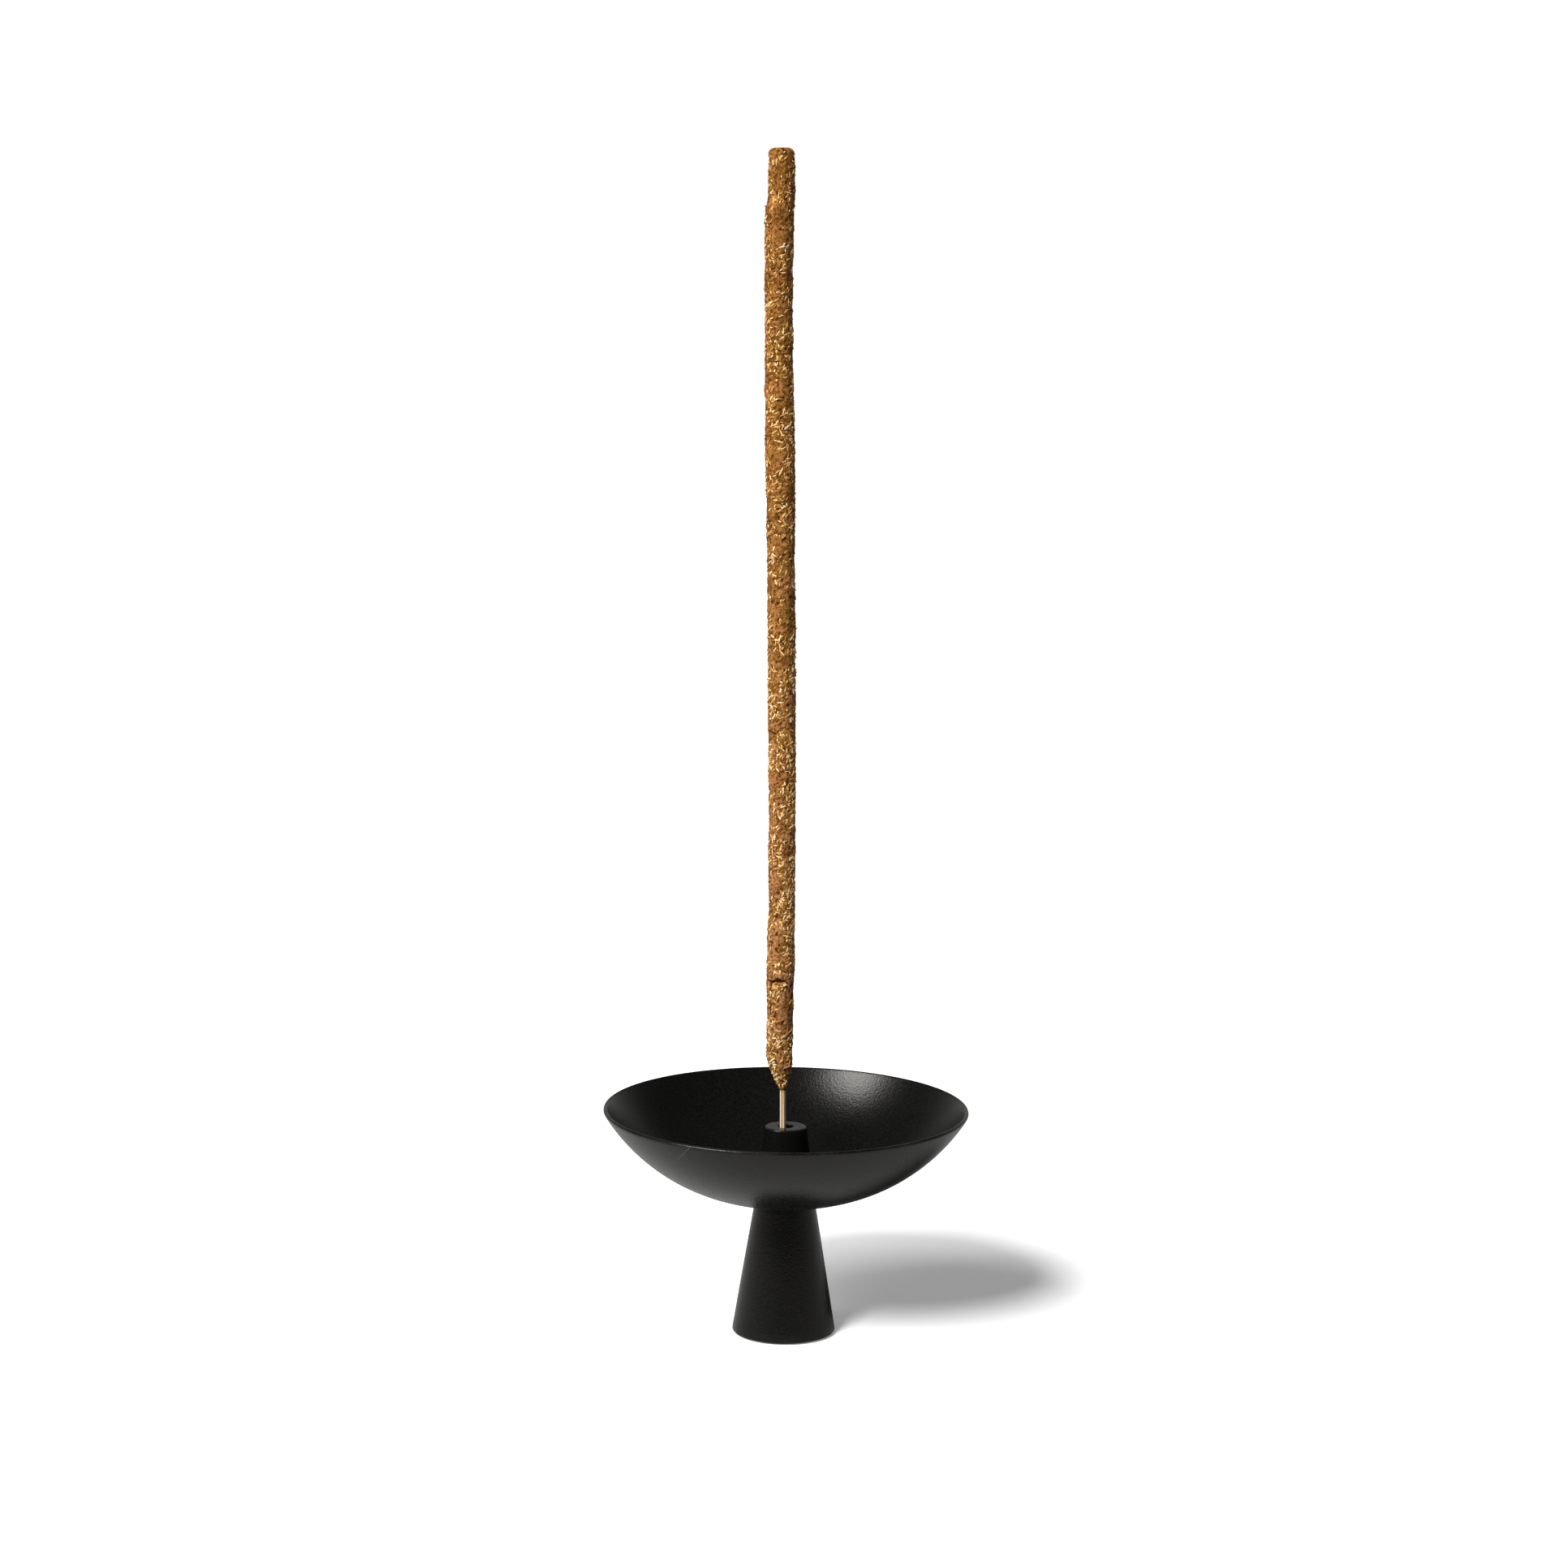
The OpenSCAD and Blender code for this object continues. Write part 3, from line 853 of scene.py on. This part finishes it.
def eased(table, z):
    """The values of a table of (height, value, ...) rows at a height, eased between rows."""
    if z <= table[0][0]:
        return table[0][1:]
    for low, high in zip(table, table[1:]):
        if z <= high[0]:
            share = (z - low[0]) / (high[0] - low[0])
            share = share * share * (3 - 2 * share)
            return tuple(a + (b - a) * share for a, b in zip(low[1:], high[1:]))
    return table[-1][1:]


def grain(x, y, z, scale, seed):
    """A smooth random field whose lumps are about as wide as the scale, in millimetres."""
    return noise.noise(Vector((x / scale + seed, y / scale - seed, z / scale + 3 * seed)))


# Cracks as (height, middle angle, half length in radians, half width, depth, slope)
paste_cracks = (
    (24.6, -1.95, 0.95, 0.34, 0.75, 0.2),
    (79.2, -2.5, 0.75, 0.26, 0.45, -0.5),
    (148.0, 0.9, 0.8, 0.26, 0.45, 0.4),
)


def crack_depth(angle, z):
    """How deep a crack cuts here: a jagged line round part of the coat."""
    deepest = 0.0
    for height, middle, length, width, depth, slope in paste_cracks:
        off = math.remainder(angle - middle, 2 * math.pi)
        if abs(off) > length or abs(z - height) > 2.5:
            continue
        jag = 0.35 * noise.noise(Vector((off * 3.1, height, 0)))
        jag += 0.15 * noise.noise(Vector((off * 11, height, 5)))
        distance = abs(z - height - slope * off - jag)
        fade = 1 - (abs(off) / length) ** 3
        deepest = max(deepest, depth * fade * max(0.0, 1 - distance / width))
    return deepest


def furrow_depth(angle, z):
    """The lengthwise furrow at the front right under the lowest crack, and the split in the top."""
    off = math.remainder(angle + 1.05 + 0.16 * noise.noise(Vector((z * 0.9, 7, 0))), 2 * math.pi)
    side = 0.2 * math.exp(-(off / 0.07) ** 2) * max(0.0, 1 - abs(z - 21.0) / 3.6)
    off = math.remainder(angle + 1.35 + 0.2 * noise.noise(Vector((z * 2, 1, 0))), 2 * math.pi)
    top = 0.45 * math.exp(-(off / 0.12) ** 2) * min(1.0, max(0.0, (z - paste_length + 1.9) / 1.2))
    return side + top


def paste_point(angle, z):
    """A point on the coat's skin in the stick's frame, and how sunk it is, from 0 to 1."""
    diameter, right, back = eased(paste_stations, z)
    r = diameter / 2
    x, y = math.cos(angle) * paste_mean_r, math.sin(angle) * paste_mean_r
    end = paste_length - z
    if end < paste_tip_r:
        r -= paste_tip_r - math.sqrt(max(0.0, paste_tip_r ** 2 - (paste_tip_r - end) ** 2))
    soft = min(1.0, z / 3)
    lumps = 0.13 * grain(x, y, z, 4.2, 1) + 0.07 * grain(x, y, z, 1.7, 2)
    crumbs = 0.11 * grain(x, y, z, 0.62, 3) + 0.08 * grain(x, y, z, 0.36, 4)
    swell = crumbs if crumbs < 0 else 0.4 * crumbs
    pit = max(0.0, grain(x, y, z, 0.8, 5) - 0.38) * 0.9
    cut = crack_depth(angle, z) + furrow_depth(angle, z)
    r += (lumps * soft + swell * (0.4 + 0.6 * soft)) - pit * soft - cut
    sunk = min(1.0, min(0.8, max(0.0, 0.3 - 6.0 * crumbs + 2.6 * pit)) + 2.0 * cut)
    return Vector((right + r * math.cos(angle), back + r * math.sin(angle), z)), sunk


def rolled_paste(name):
    """The coat's skin ring by ring, with a bumpy face that closes its top and a plain one below."""
    rings = int(paste_length / paste_ring_gap)
    heights = [paste_length * j / rings for j in range(rings + 1)]
    heights = heights[:-3] + [paste_length - below for below in (0.42, 0.28, 0.16, 0.08, 0.03, 0.006)]
    points = []
    sunk_values = []
    for z in heights:
        for k in range(paste_steps):
            spot, sunk = paste_point(2 * math.pi * k / paste_steps, z)
            points.append(to_coat @ (spot * mm))
            sunk_values.append(sunk)
    faces = tube_faces(len(heights), paste_steps)
    last = (len(heights) - 1) * paste_steps
    rim = list(range(last, last + paste_steps))
    edge_points = [Vector(point) for point in points[last:]]
    middle = sum(edge_points, Vector()) / paste_steps
    for share in (0.72, 0.44, 0.18):
        ring = []
        for edge_point in edge_points:
            bumpy = 0.05 * grain(edge_point.x / mm * share, edge_point.y / mm * share, 9, 0.7, 6) * mm
            ring.append(len(points))
            points.append(middle.lerp(edge_point, share) + Vector((0, 0, bumpy)))
            sunk_values.append(0.3)
        for k in range(paste_steps):
            n = (k + 1) % paste_steps
            faces.append((rim[k], rim[n], ring[n], ring[k]))
        rim = ring
    faces.append(tuple(rim))
    faces.append(tuple(range(paste_steps))[::-1])
    return finished_mesh(name, points, faces, {"sunk": sunk_values})


paste = rolled_paste("paste_rolled")
dough, tree, position = new_material("incense")


def speckle(scale, detail, roughness, low, high):
    """A noise mask over the dough, cut between two levels."""
    spots = pattern(tree, "Noise", position, Scale=scale, Detail=detail, Roughness=roughness)
    return ranged(tree, spots.outputs["Fac"], low, high)


# The dough is paler low down and deeper in colour from seven tenths of its height up
height_parts = add(tree, "ShaderNodeSeparateXYZ")
join(tree, position, height_parts.inputs[0])
deep_from = paste_high.z - 0.3 * (paste_high.z - paste_low.z)
upper = ranged(tree, height_parts.outputs["Z"], paste_low.z, deep_from)
brown = blended(tree, upper, (0.41, 0.198, 0.098, 1), (0.32, 0.130, 0.036, 1))
olive = blended(tree, upper, (0.20, 0.088, 0.018, 1), (0.145, 0.058, 0.004, 1))
mixed = blended(tree, speckle(330.0, 4.0, 0.6, 0.42, 0.6), brown, olive)
mixed = blended(tree, speckle(1500.0, 5.0, 0.7, 0.45, 0.72), mixed, (0.42, 0.19, 0.055, 1))
mixed = blended(tree, speckle(2300.0, 4.0, 0.7, 0.50, 0.60), mixed, (0.11, 0.038, 0.004, 1))
# Painted shade: the dough is coloured darker where its skin is sunk, between the crumbs and in the pits, and
# almost black in the cracks and furrows
sunk_shade = add(tree, "ShaderNodeAttribute", "sunk places", attribute_name="sunk")
mixed = blended(tree, ranged(tree, sunk_shade.outputs["Fac"], 0.28, 0.72), mixed, (0.065, 0.019, 0.002, 1))
mixed = blended(tree, ranged(tree, sunk_shade.outputs["Fac"], 0.85, 1.0), mixed, (0.018, 0.005, 0.001, 1))
fine = pattern(tree, "Noise", position, "powder grain", Scale=5200.0, Detail=4.0, Roughness=0.7)
dusty = ranged(tree, fine.outputs["Fac"], 0.3, 0.7, 0.9, 0.6)
crust = add(tree, "ShaderNodeBsdfPrincipled", IOR=1.45, Specular_IOR_Level=0.15)
surfaced(tree, crust, mixed, dusty, fine.outputs["Fac"], 0.8, 0.06)
paste.data.materials.append(dough)
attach(paste, "incense_stick")
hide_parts("incense_paste")

# ---------------------------------------------------------------------------------------------
# Wood flakes: splinters of straw-coloured wood and bark that the dough holds. They lie flat in its
# skin in crowded patches, some with one end lifted; each is a small slat of its own.
# ---------------------------------------------------------------------------------------------
flake_count = 9700
flake_seed = 11


def flake_patches(name):
    """The flakes, thrown at random and kept where they crowd together, clear of the cracks."""
    dice = random.Random(flake_seed)
    points = []
    faces = []
    tones = []
    made = 0
    while made < flake_count:
        z = dice.uniform(0.7, paste_length - 0.5)
        angle = dice.uniform(-math.pi, math.pi)
        x, y = math.cos(angle) * paste_mean_r, math.sin(angle) * paste_mean_r
        crowd = grain(x, y, z, 3.6, 8) + 0.6 * grain(x, y, z, 1.3, 9)
        if dice.random() > 0.6 + 1.5 * crowd:
            continue
        if max(crack_depth(angle, z + step) for step in (-0.3, 0.0, 0.3)) > 0.05:
            continue
        made += 1
        spot, _ = paste_point(angle, z)
        up, _ = paste_point(angle, z + 0.3)
        side, _ = paste_point(angle + 0.1, z)
        outward = (side - spot).cross(up - spot).normalized()
        smooth_out = Vector((math.cos(angle), math.sin(angle), 0))
        outward = (outward + smooth_out * min(1.2, max(0.0, (paste_length - 0.5 - z) * 0.8))).normalized()
        heading = dice.gauss(-0.65, 0.55) if dice.random() < 0.6 else dice.uniform(0, math.pi)
        tangent = (Vector((0, 0, 1)) - outward * outward.z).normalized()
        along_flake = (tangent * math.cos(heading) + outward.cross(tangent) * math.sin(heading)).normalized()
        lift = dice.gauss(0.02, 0.13)
        along_flake = (along_flake + outward * lift).normalized()
        across = outward.cross(along_flake).normalized()
        thick_way = along_flake.cross(across).normalized()
        length = min(2.2, 0.5 + 0.35 * z, max(0.3, dice.lognormvariate(-0.16, 0.36)))
        width = min(0.42, max(0.12, dice.lognormvariate(-1.47, 0.26)))
        thick = dice.uniform(0.07, 0.15)
        bend = dice.uniform(-0.04, 0.10) * length
        centre = spot + outward * dice.uniform(-0.035, 0.045)
        tone = dice.random() ** (0.85 + 0.75 * z / paste_length)
        first = len(points)
        for share, narrow in ((-0.5, dice.uniform(0.3, 0.8)), (dice.uniform(-0.15, 0.15), 1.0),
                              (0.5, dice.uniform(0.25, 0.8))):
            sag = bend * (0.25 - share * share) * 1.6
            skew = dice.uniform(-0.06, 0.06)
            for a, b in ((-0.5, -0.5), (0.5, -0.5), (0.42, 0.5), (-0.42, 0.5)):
                corner = centre + along_flake * (share * length) + across * ((a * narrow + skew) * width)
                corner = corner + thick_way * (b * thick) + outward * sag
                points.append(to_coat @ (corner * mm))
                tones.append(tone)
        faces.append((first, first + 1, first + 2, first + 3))
        faces.append((first + 8, first + 11, first + 10, first + 9))
        for k in range(2):
            for i in range(4):
                n = (i + 1) % 4
                low = first + 4 * k
                faces.append((low + i, low + 4 + i, low + 4 + n, low + n))
    flakes = finished_mesh(name, points, faces, {"tone": tones})
    flakes.data.shade_flat()
    return flakes


flakes = flake_patches("flakes_wood")
flake_wood, tree, position = new_material("incense_flakes")
tone = add(tree, "ShaderNodeAttribute", "tone of each flake", attribute_name="tone")
tones = add(tree, "ShaderNodeValToRGB", "bark to straw")
ramp = tones.color_ramp
ramp.elements[0].color = (0.10, 0.04, 0.006, 1)
ramp.elements[1].color = (1.0, 0.86, 0.58, 1)
for stop, colour in (
    (0.25, (0.23, 0.095, 0.009, 1)), (0.55, (0.49, 0.25, 0.045, 1)), (0.8, (0.95, 0.63, 0.25, 1)),
):
    ramp.elements.new(stop).color = colour
join(tree, tone.outputs["Fac"], tones.inputs["Fac"])
fibre = placed(tree, plant_fibre, position, Streak_scale=6500.0, Pale=(1, 1, 1, 1),
               Dark=(0.78, 0.68, 0.56, 1))
stained = blended(tree, 0.7, tones.outputs["Color"], fibre.outputs["Colour"], "MULTIPLY")
sheen = ranged(tree, fibre.outputs["Streak"], 0.3, 0.7, 0.5, 0.3)
slat = add(tree, "ShaderNodeBsdfPrincipled", IOR=1.5, Specular_IOR_Level=0.25)
surfaced(tree, slat, stained, sheen, fibre.outputs["Streak"], 0.5, 0.02)
flakes.data.materials.append(flake_wood)
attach(flakes, "incense_stick")
